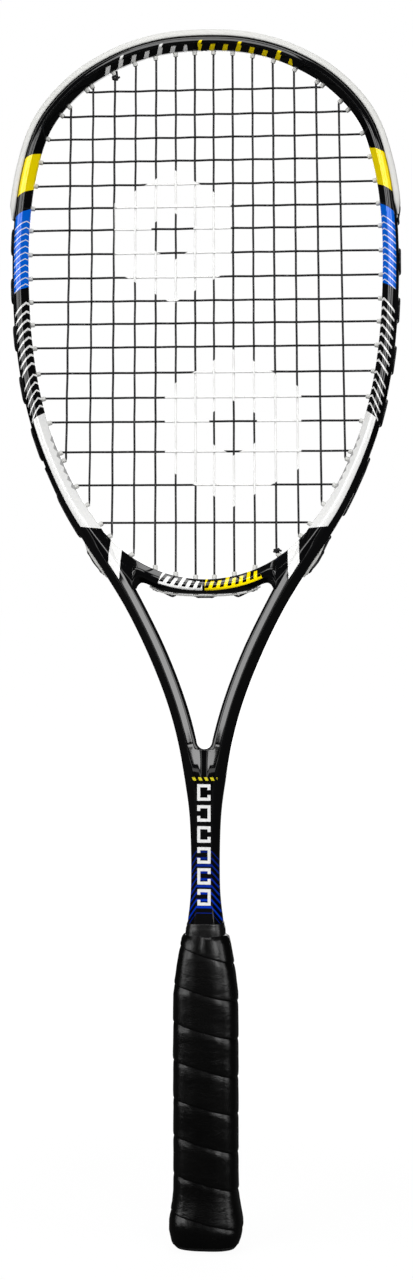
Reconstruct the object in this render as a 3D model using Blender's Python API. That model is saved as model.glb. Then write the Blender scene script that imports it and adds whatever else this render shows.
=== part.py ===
"""Squash racket, strung and gripped.

The racket stands on its butt end: +Z runs up the shaft to the head, the string bed lies in the XZ
plane and the front faces -Y. The origin is the middle of the butt end. Sizes are in millimetres and
become metres when a mesh is made.
"""
import math

import bmesh
import bpy
from mathutils import Vector

MM = 0.001
GAP = 0.3                      # clearance between touching pieces

# ---- frame: right half of the outer outline, from the head's top to the butt ----
# half width x, height z, and width of the beam measured inwards from the outline
FRAME_OUTLINE = (
    (0.0, 683.2, 8.4), (27.0, 681.0, 8.4), (52.2, 672.9, 8.2), (75.8, 658.1, 8.1),
    (94.5, 636.0, 8.1), (104.2, 608.0, 8.6), (108.6, 576.0, 8.9), (109.2, 540.0, 9.2),
    (106.8, 505.0, 9.3), (101.2, 473.0, 9.5), (92.8, 446.0, 9.9), (80.9, 419.0, 11.0),
    (69.2, 399.0, 12.5), (57.3, 381.0, 11.6), (44.0, 359.0, 10.5), (31.6, 333.5, 10.6),
    (21.8, 308.5, 10.6), (15.5, 286.0, 10.8), (11.3, 263.0, 10.8), (8.9, 245.0, 10.8),
    (8.0, 225.0, 10.8), (8.0, 205.0, 10.8), (8.7, 194.0, 10.8), (10.1, 182.0, 10.8),
    (10.6, 168.0, 10.8), (10.6, 12.0, 10.8),
)
CROTCH_HALF_WIDTH = 3.9        # the throat opening closes where it gets narrower than this
WALL = 1.2                     # carbon wall of the tube
WEB = 1.2                      # wall between the two tube ends that run down the shaft
END_CUT = 4.0                  # how far the hollow's cutter runs past the tube's open end

# Half of the beam's front profile: (fraction of the width from the outside in, half depth)
HOOP_PROFILE = ((0.0, 2.6), (0.25, 7.8), (0.62, 9.2), (1.0, 2.3))
ARM_PROFILE = ((0.0, 2.8), (0.42, 9.4), (0.80, 8.6), (1.0, 3.0))
SHAFT_PROFILE = ((0.0, 3.2), (0.46, 9.0), (0.80, 9.0), (1.0, 9.0))
CROTCH_PROFILE = ((0.0, 3.0), (0.42, 9.4), (0.80, 8.6), (1.0, 6.0))
# heights between which one profile turns into the next, from the head downwards
HOOP_END_Z, ARM_START_Z, ARM_END_Z, CROTCH_Z, SHAFT_START_Z = 405.0, 372.0, 300.0, 281.0, 258.0

# ---- throat bridge ----
HEAD_ARC_RADIUS = 75.0         # lower edge of the head opening
HEAD_ARC_Z = 452.0             # its centre
BRIDGE_TIP_X = 57.0            # where the bridge runs out into the hoop
BRIDGE_UNDERSIDE = ((0.0, 368.4), (13.0, 368.7), (23.0, 370.1), (30.0, 373.0), (35.5, 375.2), (38.6, 371.4))
BRIDGE_TOP_X = (0.0, 13.0, 25.0, 36.5, 47.0, BRIDGE_TIP_X)
BRIDGE_PROFILE = ((0.0, 2.6), (0.32, 8.2), (0.66, 8.4), (1.0, 2.6))
BRIDGE_TIP_PROFILE = ((0.0, 2.2), (0.32, 4.4), (0.66, 4.4), (1.0, 2.6))

# ---- string ----
STRING_RADIUS = 0.6
MAIN_COUNT_PER_SIDE = 7
MAIN_FIRST_X = 5.3
MAIN_TOP_PITCH = 10.55
MAIN_BOTTOM_PITCH = 11.1
MAIN_PITCH_GROWTH = 0.2        # the spacing grows this much with the square of the count
CROSS_TOP_Z = 652.9
CROSS_PITCH = 13.3
CROSS_REGULAR = 15             # crosses at the regular pitch
CROSS_LAST_GAPS = (17.1, 18.8, 21.5)
WEAVE = 2 * STRING_RADIUS + GAP
RUN_SIDE = 1.7                 # outside the frame, main runs lie this far to the back, cross runs to the front
UNDERSIDE_BULGE = 0.9          # how far the bridge's underside stands out between two of its ports

# ---- grommets ----
BARREL_HALF_SIDE = 1.2         # barrels, their bores and the frame's string holes are square here
BORE_HALF_SIDE = 0.9
HOLE_HALF_SIDE = BARREL_HALF_SIDE + GAP
BARREL_PROUD = 2.2             # how far a barrel stands into the head opening
STRIP_THICKNESS = 0.5
STRIP_HALF_WIDTH = 2.5
SHOULDER_THICKNESS = 1.6
BUMPER_FLOOR = 0.9
BUMPER_END_Z = 579.0
BUMPER_TAPER = 9.0             # length over which the bumper's ends run out
# half of the bumper's section: (distance from the frame's outer wall, half width)
BUMPER_PROFILE = ((0.3, 2.7), (-1.0, 5.7), (-0.6, 6.9), (1.9, 6.2), (2.8, 5.2), (2.8, 3.3), (1.2, 2.7))
BUMPER_END_PROFILE = ((0.3, 2.7), (0.0, 3.4), (0.4, 4.2), (0.9, 4.2), (1.1, 3.8), (1.2, 3.3), (1.2, 2.7))

# ---- handle: (height, half width, half depth) ----
PALLET_RINGS = ((4.0, 16.2, 13.4), (145.0, 16.2, 13.4), (156.0, 15.4, 13.1), (163.0, 14.0, 12.6), (172.0, 12.2, 12.0))
CAP_OUTER = ((0.0, 18.2, 15.4), (1.0, 19.6, 16.8), (2.8, 20.2, 17.4), (3.2, 19.0, 16.2), (14.0, 19.2, 16.3),
             (20.0, 18.0, 15.2))
CAP_FLOOR = 3.6
CAP_SKIRT_TOP = 20.0
GRIP_OUTER = ((3.6, 20.6, 17.6), (14.0, 21.3, 18.2), (22.0, 20.2, 17.2), (32.0, 18.2, 15.4), (146.0, 18.2, 15.4),
              (156.0, 17.4, 15.1), (163.0, 16.0, 14.6), (170.0, 14.4, 14.0), (177.0, 12.2, 13.2))
GRIP_INNER = ((3.6, 19.6, 16.7), (14.0, 19.6, 16.7), (20.6, 18.4, 15.6), (26.0, 16.6, 13.8), (145.0, 16.6, 13.8),
              (156.0, 15.8, 13.5), (163.0, 14.4, 13.0), (172.4, 12.6, 12.4), (174.0, 11.1, 10.4), (177.0, 11.1, 10.4))
TAPE_OUTER = ((177.4, 12.0, 12.4), (180.0, 11.6, 11.9), (186.0, 10.5, 10.9))
TAPE_INNER = ((177.4, 10.8, 10.4), (180.0, 10.6, 10.0), (186.0, 9.7, 9.7))
SHAFT_BORE = (11.0, 9.5)       # half width and half depth of the pallet's bore
STAPLE_Z = 9.0
STAPLE_HALF_SPAN = 4.0
STAPLE_WIRE = 0.7
STAPLE_CROWN_X = 18.7
STAPLE_LEG_X = 12.5
STAPLE_LEG_EASE = 0.06         # the leg holes are this much wider than the crown's slot on each side


# ------------------------------------------------------------------ small tools

def clear_scene():
    for obj in list(bpy.data.objects):
        bpy.data.objects.remove(obj, do_unlink=True)


def make_material(name, colour, roughness, metallic=0.0):
    material = bpy.data.materials.new(name)
    material.use_nodes = True
    shader = material.node_tree.nodes["Principled BSDF"]
    shader.inputs["Base Color"].default_value = (*colour, 1.0)
    shader.inputs["Roughness"].default_value = roughness
    shader.inputs["Metallic"].default_value = metallic
    material.diffuse_color = (*colour, 1.0)
    return material


def lerp(a, b, t):
    return a + (b - a) * t


def blend_profiles(first, second, t):
    return [tuple(lerp(a, b, t) for a, b in zip(p, q)) for p, q in zip(first, second)]


def smooth_curve(points, steps, before, coarse_below):
    """Catmull-Rom curve through (x, z, ...) points, in half as many steps below a height.

    The argument before is the point ahead of the first one.
    """
    padded = [before, *points, points[-1]]
    curve = []
    for p0, p1, p2, p3 in zip(padded, padded[1:], padded[2:], padded[3:]):
        span_steps = steps if p1[1] > coarse_below else max(1, steps // 2)
        for step in range(span_steps):
            t = step / span_steps
            curve.append(tuple(
                0.5 * (2 * b + (c - a) * t + (2 * a - 5 * b + 4 * c - d) * t ** 2 + (3 * b - a - 3 * c + d) * t ** 3)
                for a, b, c, d in zip(p0, p1, p2, p3)))
    curve.append(tuple(points[-1]))
    return curve


def add_rings(bm, rings, skip=lambda ring, side: False):
    """Add closed rings of points and the faces between them; return the rings' vertices."""
    loops = [[bm.verts.new(Vector(point) * MM) for point in ring] for ring in rings]
    for index, (low, high) in enumerate(zip(loops, loops[1:])):
        count = len(low)
        for side in range(count):
            if not skip(index, side):
                after = (side + 1) % count
                bm.faces.new((low[side], low[after], high[after], high[side]))
    return loops


def add_solid(bm, rings):
    """Add a closed solid lofted through rings, with flat ends."""
    loops = add_rings(bm, rings)
    bm.faces.new(list(reversed(loops[0])))
    bm.faces.new(loops[-1])


def finish_mesh(bm, name, material, sharp_degrees=30.0):
    """Turn a bmesh into an object of triangles whose faces point out."""
    bmesh.ops.triangulate(bm, faces=bm.faces[:])
    bmesh.ops.recalc_face_normals(bm, faces=bm.faces[:])
    mesh = bpy.data.meshes.new(name)
    bm.to_mesh(mesh)
    bm.free()
    mesh.shade_smooth()
    mesh.set_sharp_from_angle(angle=math.radians(sharp_degrees))
    obj = bpy.data.objects.new(name, mesh)
    bpy.context.scene.collection.objects.link(obj)
    if material:
        mesh.materials.append(material)
    return obj


def as_cutter(obj):
    obj.hide_render = True
    obj.display_type = 'WIRE'
    return obj


def combine(obj, tool, operation):
    """Cut or join closed meshes. The exact solver loses these thin walls when cuts follow each other."""
    modifier = obj.modifiers.new(f"{operation.lower()}_{tool.name}", 'BOOLEAN')
    modifier.operation = operation
    modifier.object = tool
    modifier.solver = 'MANIFOLD'


# ------------------------------------------------------------------ frame outline

def mirrored(point):
    return (-point[0], *point[1:])


def frame_stations(steps):
    """Stations down the right half of the frame: outer point, inward direction, beam width."""
    curve = smooth_curve(FRAME_OUTLINE, steps, mirrored(FRAME_OUTLINE[1]), HOOP_END_Z)
    stations = []
    for index, (x, z, width) in enumerate(curve):
        ahead = curve[min(index + 1, len(curve) - 1)]
        behind = curve[index - 1] if index else mirrored(curve[1])
        tangent = Vector((ahead[0] - behind[0], ahead[1] - behind[1])).normalized()
        stations.append((Vector((x, z)), Vector((tangent.y, -tangent.x)), width))
    return stations


def inner_point(outer, inward, width, axis_x=0.0):
    """The beam's inner edge, or the shaft's middle where the two arms have met."""
    point = outer + inward * width
    if outer.y > ARM_END_Z or point.x >= CROTCH_HALF_WIDTH + axis_x:
        return point
    reach = (outer.x - axis_x) / -inward.x
    return outer + inward * reach


def frame_profile(z):
    """The beam's profile at a height."""
    if z >= ARM_START_Z:
        return blend_profiles(ARM_PROFILE, HOOP_PROFILE, min(1.0, (z - ARM_START_Z) / (HOOP_END_Z - ARM_START_Z)))
    if z >= ARM_END_Z:
        return list(ARM_PROFILE)
    if z >= CROTCH_Z:
        return blend_profiles(CROTCH_PROFILE, ARM_PROFILE, (z - CROTCH_Z) / (ARM_END_Z - CROTCH_Z))
    return blend_profiles(SHAFT_PROFILE, CROTCH_PROFILE, max(0.0, (z - SHAFT_START_Z) / (CROTCH_Z - SHAFT_START_Z)))


def profile_ring(outer, inner, profile, side, inset=0.0):
    """Closed ring of a beam section between two points of the XZ plane, front half then back half."""
    front = []
    for fraction, depth in profile:
        point = outer.lerp(inner, fraction)
        front.append((side * point.x, -max(depth - inset, 0.8), point.y))
    return front + [(x, -y, z) for x, y, z in reversed(front)]


def build_tube(name, material, wall=0.0):
    """The whole frame tube, as a solid; a negative wall makes it larger all round."""
    bm = bmesh.new()
    inner_wall = len(HOOP_PROFILE) - 1
    for side in (1, -1):
        rings = []
        on_axis = []
        for outer, inward, width in frame_stations(2):
            inner = inner_point(outer, inward, width - wall)
            rings.append(profile_ring(outer + inward * wall, inner, frame_profile(outer.y), side, inset=wall))
            on_axis.append(inner.x < 1e-4)
        add_rings(bm, rings, lambda ring, face: face == inner_wall and on_axis[ring] and on_axis[ring + 1])
    return close_halves(bm, name, material)


def build_hollow(name):
    """The tube's hollow: round the hoop and down both sides of the shaft's web, out of the open end."""
    bm = bmesh.new()
    for side in (1, -1):
        rings = []
        for outer, inward, width in frame_stations(2):
            inner = inner_point(outer, inward, width - WALL, axis_x=WEB / 2)
            first, second, third, last = frame_profile(outer.y)
            ridge = tuple((a + b) / 2 for a, b in zip(second, third))
            rings.append(profile_ring(outer + inward * WALL, inner, (first, ridge, last), side, inset=WALL))
        rings.append([(x, y, z - END_CUT) for x, y, z in rings[-1]])
        add_rings(bm, rings)
    return close_halves(bm, name, None)


def close_halves(bm, name, material):
    bmesh.ops.remove_doubles(bm, verts=bm.verts[:], dist=1e-6)
    open_edges = [edge for edge in bm.edges if edge.is_boundary]
    bmesh.ops.holes_fill(bm, edges=open_edges, sides=0)
    return finish_mesh(bm, name, material)


# ------------------------------------------------------------------ string ports

class Port:
    """One end of a string run: its inner tip, its exit on the outer wall and the way out."""

    def __init__(self, tip, exit_point, outward):
        self.tip = tip
        self.exit = exit_point
        self.outward = outward

    def mirror(self):
        flip = Vector((-1.0, 1.0))
        return Port(self.tip * flip, self.exit * flip, self.outward * flip)

    def place(self, along, side=0.0, shift=0.0):
        """A point this far outside the exit, to the side in Y, and shifted along the outline."""
        tangent = Vector((self.outward.y, -self.outward.x))
        point = self.exit + self.outward * along + tangent * shift
        return (point.x, side, point.y)

    def inside(self):
        return (self.tip.x, 0.0, self.tip.y)


def ports_on_hoop(target, axis, z_low, z_high):
    """The port whose tip has the target coordinate (axis 0 is x, 1 is z) between two heights."""
    stations = [s for s in frame_stations(24) if z_low <= s[0].y <= z_high]
    tips = [outer + inward * (width + BARREL_PROUD) for outer, inward, width in stations]
    for (first, second), (tip_a, tip_b) in zip(zip(stations, stations[1:]), zip(tips, tips[1:])):
        a, b = tip_a[axis] - target, tip_b[axis] - target
        if a * b <= 0.0 and a != b:
            t = a / (a - b)
            outer = first[0].lerp(second[0], t)
            inward = first[1].lerp(second[1], t).normalized()
            return Port(tip_a.lerp(tip_b, t), outer, -inward)
    raise ValueError(f"no port at {target}")


def head_arc_z(x, radius=HEAD_ARC_RADIUS):
    return HEAD_ARC_Z - math.sqrt(radius ** 2 - x ** 2)


def underside_z(x):
    """Height of the bridge's underside above its middle part."""
    for (x0, z0), (x1, z1) in zip(BRIDGE_UNDERSIDE, BRIDGE_UNDERSIDE[1:]):
        if x0 <= x <= x1:
            return lerp(z0, z1, (x - x0) / (x1 - x0))
    raise ValueError(x)


def shoulder_port(x):
    """A port that starts on the head's lower arc and leaves through the nearest point of the outline."""
    tip = Vector((x, head_arc_z(x, HEAD_ARC_RADIUS - BARREL_PROUD)))
    outer = min((s[0] for s in frame_stations(24)), key=lambda point: (point - tip).length)
    return Port(tip, outer, (outer - tip).normalized())


def bridge_port(x):
    tip = Vector((x, head_arc_z(x, HEAD_ARC_RADIUS - BARREL_PROUD)))
    return Port(tip, Vector((x, underside_z(x))), Vector((0.0, -1.0)))


def spread(pitch, index):
    return MAIN_FIRST_X + pitch * index + MAIN_PITCH_GROWTH * index ** 2


def cross_heights():
    heights = [CROSS_TOP_Z - CROSS_PITCH * index for index in range(CROSS_REGULAR)]
    for gap in CROSS_LAST_GAPS:
        heights.append(heights[-1] - gap)
    return heights


TOP_PORTS = [ports_on_hoop(spread(MAIN_TOP_PITCH, k), 0, 600.0, 690.0) for k in range(MAIN_COUNT_PER_SIDE)]
BRIDGE_PORTS = [bridge_port(spread(MAIN_BOTTOM_PITCH, k)) for k in (0, 1, 2)]
SHOULDER_PORTS = [shoulder_port(spread(MAIN_BOTTOM_PITCH, k)) for k in (3, 4)]
LOWER_PORTS = [ports_on_hoop(spread(MAIN_BOTTOM_PITCH, k), 0, 395.0, 480.0) for k in (5, 6)]
BOTTOM_PORTS = BRIDGE_PORTS + SHOULDER_PORTS + LOWER_PORTS
CROSS_PORTS = [ports_on_hoop(z, 1, 380.0, 690.0) for z in cross_heights()]
GUARDED_CROSSES = [port for port in CROSS_PORTS if port.exit.y > BUMPER_END_Z]
SIDE_CROSSES = [port for port in CROSS_PORTS if port.exit.y <= BUMPER_END_Z]


# ------------------------------------------------------------------ frame and bridge

def add_prisms(bm, ports, half_side, start, end):
    """Add a square prism along each port, from start outside the exit to end past the tip."""
    for port in ports:
        tangent = Vector((port.outward.y, -port.outward.x))
        rings = []
        for centre in (port.exit + port.outward * start, port.tip - port.outward * end):
            ring = []
            for along, across in ((1, 1), (-1, 1), (-1, -1), (1, -1)):
                point = centre + tangent * (half_side * along)
                ring.append((point.x, half_side * across, point.y))
            rings.append(ring)
        add_solid(bm, rings)


def both_sides(ports):
    return ports + [port.mirror() for port in ports]


def string_hole_cutter(name, ports):
    bm = bmesh.new()
    add_prisms(bm, ports, HOLE_HALF_SIDE, 2.0, 0.0)
    return as_cutter(finish_mesh(bm, name, None))


def build_frame(carbon):
    frame = build_tube("frame", carbon)
    hollow = as_cutter(build_hollow("frame_hollow"))
    holes = string_hole_cutter("frame_string_holes", both_sides(TOP_PORTS + SHOULDER_PORTS + LOWER_PORTS + CROSS_PORTS))
    combine(frame, hollow, 'DIFFERENCE')
    combine(frame, holes, 'DIFFERENCE')


def build_bridge(carbon):
    """The bridge: rings from one tip to the other, between the head's lower arc and the underside."""
    rings = []
    last = len(BRIDGE_TOP_X) - 1
    for index in range(-last, last + 1):
        side = -1 if index < 0 else 1
        x = BRIDGE_TOP_X[abs(index)]
        top = Vector((x, head_arc_z(x)))
        bottom = Vector(BRIDGE_UNDERSIDE[abs(index)])
        profile = BRIDGE_TIP_PROFILE if abs(index) == last else BRIDGE_PROFILE
        rings.append(profile_ring(top, bottom, profile, side))
    bm = bmesh.new()
    add_solid(bm, rings)
    bridge = finish_mesh(bm, "throat_bridge", carbon)
    seat = as_cutter(build_tube("bridge_seat", None, wall=-GAP))
    combine(bridge, seat, 'DIFFERENCE')
    combine(bridge, string_hole_cutter("bridge_string_holes", both_sides(BRIDGE_PORTS + SHOULDER_PORTS)), 'DIFFERENCE')


# ------------------------------------------------------------------ grommets

def outline_between(z_low, z_high):
    """Stations of the outline between two heights, with one right at each height."""
    fine = frame_stations(24)
    ends = [min(fine, key=lambda s: abs(s[0].y - z)) for z in (z_high, z_low)]
    inner = [s for s in frame_stations(2) if ends[1][0].y + 2.0 < s[0].y < ends[0][0].y - 0.1]
    return [ends[0], *inner, ends[1]]


def strip_ring(outer, inward, profile, side):
    """Ring of a strip's section; the profile gives the distance outside the wall and the half width."""
    half = []
    for distance, width in profile:
        point = outer - inward * distance
        half.append((side * point.x, -width, point.y))
    return half + [(x, -y, z) for x, y, z in reversed(half)]


def add_barrels(strip, ports, thickness):
    """Join a barrel to the strip at each port and bore them through."""
    bm = bmesh.new()
    add_prisms(bm, ports, BARREL_HALF_SIDE, GAP + thickness * 0.5, 0.0)
    barrels = as_cutter(finish_mesh(bm, strip.name + "_barrels", None))
    bm = bmesh.new()
    add_prisms(bm, ports, BORE_HALF_SIDE, 6.0, 2.0)
    bores = as_cutter(finish_mesh(bm, strip.name + "_bores", None))
    combine(strip, barrels, 'UNION')
    combine(strip, bores, 'DIFFERENCE')


def plain_profile(thickness):
    return ((GAP, STRIP_HALF_WIDTH), (GAP + thickness, STRIP_HALF_WIDTH))


def build_bumper(plastic):
    right = outline_between(BUMPER_END_Z, FRAME_OUTLINE[0][1])
    end = right[-1][0]
    rings = []
    for side, stations in ((-1, list(reversed(right))), (1, right[1:])):
        for outer, inward, _ in stations:
            profile = blend_profiles(BUMPER_END_PROFILE, BUMPER_PROFILE, min(1.0, (outer - end).length / BUMPER_TAPER))
            rings.append(strip_ring(outer, inward, profile, side))
    bm = bmesh.new()
    add_solid(bm, rings)
    bumper = finish_mesh(bm, "bumper_guard", plastic)
    add_barrels(bumper, both_sides(TOP_PORTS + GUARDED_CROSSES), BUMPER_FLOOR)


def build_side_strips(plastic):
    lower_end = max(port.exit.y for port in SHOULDER_PORTS) + 3.5
    for side, name in ((-1, "left_grommet_strip"), (1, "right_grommet_strip")):
        stations = outline_between(lower_end, BUMPER_END_Z - 3.0)
        rings = [strip_ring(outer, inward, plain_profile(STRIP_THICKNESS), side) for outer, inward, _ in stations]
        bm = bmesh.new()
        add_solid(bm, rings)
        strip = finish_mesh(bm, name, plastic)
        ports = SIDE_CROSSES + LOWER_PORTS
        add_barrels(strip, ports if side > 0 else [port.mirror() for port in ports], STRIP_THICKNESS)


def build_shoulders(plastic):
    low, high = (port.exit.y for port in SHOULDER_PORTS)
    for side, name in ((-1, "left_shoulder_grommet"), (1, "right_shoulder_grommet")):
        stations = [s for s in frame_stations(12) if low - 5.0 <= s[0].y <= high + 3.0]
        rings = []
        for index, (outer, inward, _) in enumerate(stations):
            thickness = SHOULDER_THICKNESS * math.sin(math.pi * (index + 0.8) / (len(stations) + 0.6)) ** 0.5
            rings.append(strip_ring(outer, inward, plain_profile(thickness), side))
        bm = bmesh.new()
        add_solid(bm, rings)
        pad = finish_mesh(bm, name, plastic)
        ports = SHOULDER_PORTS if side > 0 else [port.mirror() for port in SHOULDER_PORTS]
        add_barrels(pad, ports, SHOULDER_THICKNESS)


def build_bridge_strip(plastic):
    down = Vector((0.0, 1.0))
    reach = BRIDGE_PORTS[-1].exit.x + 3.5
    half = [x for x, _ in BRIDGE_UNDERSIDE if x < reach] + [reach]
    rings = []
    for x in [-x for x in reversed(half[1:])] + half:
        outer = Vector((abs(x), underside_z(abs(x))))
        rings.append(strip_ring(outer, down, plain_profile(STRIP_THICKNESS), math.copysign(1.0, x)))
    bm = bmesh.new()
    add_solid(bm, rings)
    strip = finish_mesh(bm, "bridge_grommet_strip", plastic)
    add_barrels(strip, both_sides(BRIDGE_PORTS), STRIP_THICKNESS)


# ------------------------------------------------------------------ string

def outside_height(port):
    """Distance of the string's middle from the wall where it runs outside at this port."""
    floor = STRIP_THICKNESS
    if port.exit.y > BUMPER_END_Z:
        floor = BUMPER_FLOOR
    elif port.exit.y < BRIDGE_PORTS[-1].exit.y + 1.0:
        floor = STRIP_THICKNESS + UNDERSIDE_BULGE
    elif port.exit.y < SHOULDER_PORTS[-1].exit.y + 4.0:
        floor = SHOULDER_THICKNESS
    return GAP + floor + GAP + STRING_RADIUS


def outside_run(start, end, side):
    """The string's way round the outside, from one exit to the next, on the given side in Y."""
    toward = (end.exit - start.exit).normalized()
    lean = 1.0 if toward.dot(Vector((start.outward.y, -start.outward.x))) > 0 else -1.0
    lean_end = 1.0 if toward.dot(Vector((end.outward.y, -end.outward.x))) > 0 else -1.0
    points = [start.place(outside_height(start))]
    points.append(start.place(outside_height(start), side, 3.0 * lean))
    points.extend(outline_run(start, end, side))
    points.append(end.place(outside_height(end), side, -3.0 * lean_end))
    points.append(end.place(outside_height(end)))
    return points


def outline_run(start, end, side):
    """Points that follow the outline between two exits on one side of the frame."""
    if start.exit.x * end.exit.x < 0 or abs(start.outward.x) < 1e-6:
        return []
    mirror = 1.0 if start.exit.x > 0 else -1.0
    high, low = max(start.exit.y, end.exit.y), min(start.exit.y, end.exit.y)
    if high - low < 14.0:
        return []
    between = [s for s in frame_stations(2) if low + 5.0 < s[0].y < high - 5.0]
    points = []
    for outer, inward, _ in between:
        height = outside_height(Port(outer, outer, -inward)) + 0.3
        point = outer - inward * height
        points.append((mirror * point.x, side, point.y))
    return points if start.exit.y > end.exit.y else points[::-1]


def main_x_at(index, z):
    """X of a main (0 is the leftmost) at a height, on its straight run."""
    top, bottom = main_ports(index)
    t = (z - bottom.tip.y) / (top.tip.y - bottom.tip.y)
    return lerp(bottom.tip.x, top.tip.x, t), 0.0 < t < 1.0


def main_ports(index):
    """Top and bottom port of a main, counted from the left."""
    if index >= MAIN_COUNT_PER_SIDE:
        k = index - MAIN_COUNT_PER_SIDE
        return TOP_PORTS[k], BOTTOM_PORTS[k]
    k = MAIN_COUNT_PER_SIDE - 1 - index
    return TOP_PORTS[k].mirror(), BOTTOM_PORTS[k].mirror()


def cross_weave(cross, port, rightwards):
    """Points of a cross between its tips, passing over and under the mains."""
    z = port.tip.y
    points = []
    for index in range(2 * MAIN_COUNT_PER_SIDE):
        x, inside = main_x_at(index, z)
        if inside and abs(x) < port.tip.x - 1.5:
            side = WEAVE if (index + cross) % 2 else -WEAVE
            points.append((x, side, z))
    return points if rightwards else points[::-1]


def string_route():
    """The whole string: the mains from left to right, then the crosses from the top down."""
    count = 2 * MAIN_COUNT_PER_SIDE
    tie_top = main_ports(2)[0]
    first_top = main_ports(0)[0]
    route = outside_run(tie_top, first_top, RUN_SIDE)[2:]
    for index in range(count):
        top, bottom = main_ports(index)
        ends = (top, bottom) if index % 2 == 0 else (bottom, top)
        route += [ends[0].inside(), ends[1].inside()]
        if index + 1 < count:
            following = main_ports(index + 1)[1 if index % 2 == 0 else 0]
            route += outside_run(ends[1], following, RUN_SIDE)
    last_top = main_ports(count - 1)[0]
    route += outside_run(last_top, CROSS_PORTS[0], -RUN_SIDE)
    for cross, port in enumerate(CROSS_PORTS):
        rightwards = cross % 2 == 1
        start, end = (port.mirror(), port) if rightwards else (port, port.mirror())
        route += [start.inside(), *cross_weave(cross, port, rightwards), end.inside()]
        if cross + 1 < len(CROSS_PORTS):
            following = CROSS_PORTS[cross + 1]
            route += outside_run(end, following if rightwards else following.mirror(), -RUN_SIDE)
    tie_bottom = main_ports(10)[1]
    route += outside_run(CROSS_PORTS[-1], tie_bottom, -RUN_SIDE)[:-2]
    return route


def build_string(material):
    curve = bpy.data.curves.new("string", 'CURVE')
    curve.dimensions = '3D'
    curve.bevel_depth = STRING_RADIUS * MM
    curve.bevel_resolution = 0
    curve.use_fill_caps = True
    route = string_route()
    spline = curve.splines.new('POLY')
    spline.points.add(len(route) - 1)
    for target, point in zip(spline.points, route):
        target.co = (*(Vector(point) * MM), 1.0)
    curve.materials.append(material)
    bpy.context.scene.collection.objects.link(bpy.data.objects.new("string", curve))


# ------------------------------------------------------------------ handle

def handle_ring(z, half_width, half_depth):
    """Ring of a handle section: flat front, back and sides with rounded corners between."""
    quarter = ((1.0, 0.46), (0.88, 0.82), (0.55, 1.0))
    right_front = [(half_width * x, -half_depth * y, z) for x, y in quarter]
    left_front = [(-x, y, z) for x, y, _ in reversed(right_front)]
    front = right_front + left_front
    return front + [(x, -y, z) for x, y, _ in reversed(front)]


def ring_solid(name, material, rings):
    bm = bmesh.new()
    add_solid(bm, [handle_ring(*ring) for ring in rings])
    return finish_mesh(bm, name, material)


def stretched(rings, below, above):
    """The same rings, with the first moved down and the last moved up, so that a cutter passes the ends."""
    first, last = rings[0], rings[-1]
    return ((first[0] - below, *first[1:]), *rings[1:-1], (last[0] + above, *last[1:]))


def sleeve(name, material, outer, inner):
    body = ring_solid(name, material, outer)
    hollow = as_cutter(ring_solid(name + "_hollow", None, stretched(inner, 1.0, 1.0)))
    combine(body, hollow, 'DIFFERENCE')
    return body


def build_staple(name, material, side):
    """A staple: crown along Y in the cap's skirt and two legs towards the pallet's middle."""
    wire = STAPLE_WIRE / 2
    outside = [(STAPLE_LEG_X, STAPLE_HALF_SPAN + wire), (STAPLE_CROWN_X + wire, STAPLE_HALF_SPAN + wire)]
    inside = [(STAPLE_LEG_X, STAPLE_HALF_SPAN - wire), (STAPLE_CROWN_X - wire, STAPLE_HALF_SPAN - wire)]
    outside += [(x, -y) for x, y in reversed(outside)]
    inside += [(x, -y) for x, y in reversed(inside)]
    rings = []
    for (outer_x, outer_y), (inner_x, inner_y) in zip(outside, inside):
        rings.append([(side * x, y, STAPLE_Z + z) for x, y, z in (
            (outer_x, outer_y, -wire), (outer_x, outer_y, wire), (inner_x, inner_y, wire), (inner_x, inner_y, -wire))])
    bm = bmesh.new()
    add_solid(bm, rings)
    finish_mesh(bm, name, material)


def staple_slot(name, side, x_range, y_ranges, half_height):
    """Cutter boxes for a part of a staple."""
    bm = bmesh.new()
    x0, x1 = x_range
    for y0, y1 in y_ranges:
        corners = ((x0, y0), (x1, y0), (x1, y1), (x0, y1))
        add_solid(bm, [[(side * x, y, STAPLE_Z + z) for x, y in corners] for z in (-half_height, half_height)])
    return as_cutter(finish_mesh(bm, name, None))


def build_handle(foam, cap_plastic, steel, grip, tape):
    pallet = ring_solid("handle_pallet", foam, PALLET_RINGS)
    bore_half_width, bore_half_depth = SHAFT_BORE
    bore_rings = [(z, bore_half_width, bore_half_depth) for z in (11.6, 180.0)]
    combine(pallet, as_cutter(ring_solid("shaft_bore", None, bore_rings)), 'DIFFERENCE')

    cap = ring_solid("butt_cap", cap_plastic, CAP_OUTER)
    clearance = [(z, 16.2 + GAP, 13.4 + GAP) for z in (CAP_FLOOR, CAP_SKIRT_TOP + 1.0)]
    combine(cap, as_cutter(ring_solid("cap_hollow", None, clearance)), 'DIFFERENCE')

    room = STAPLE_WIRE / 2 + GAP
    leg_room = room + STAPLE_LEG_EASE
    span = STAPLE_HALF_SPAN
    for side, name in ((-1, "left_cap_staple"), (1, "right_cap_staple")):
        build_staple(name, steel, side)
        crown_slot = staple_slot(name + "_crown_slot", side, (STAPLE_CROWN_X - room, STAPLE_CROWN_X + 2 * room),
                                 ((-span - room, span + room),), room)
        leg_slots = staple_slot(name + "_leg_slots", side, (STAPLE_LEG_X - GAP, STAPLE_CROWN_X),
                                [(y - leg_room, y + leg_room) for y in (-span, span)], leg_room)
        combine(pallet, leg_slots, 'DIFFERENCE')
        combine(cap, crown_slot, 'DIFFERENCE')
        combine(cap, leg_slots, 'DIFFERENCE')

    sleeve("grip_wrap", grip, GRIP_OUTER, GRIP_INNER)
    sleeve("finishing_tape", tape, TAPE_OUTER, TAPE_INNER)


# ------------------------------------------------------------------ the racket

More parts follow.
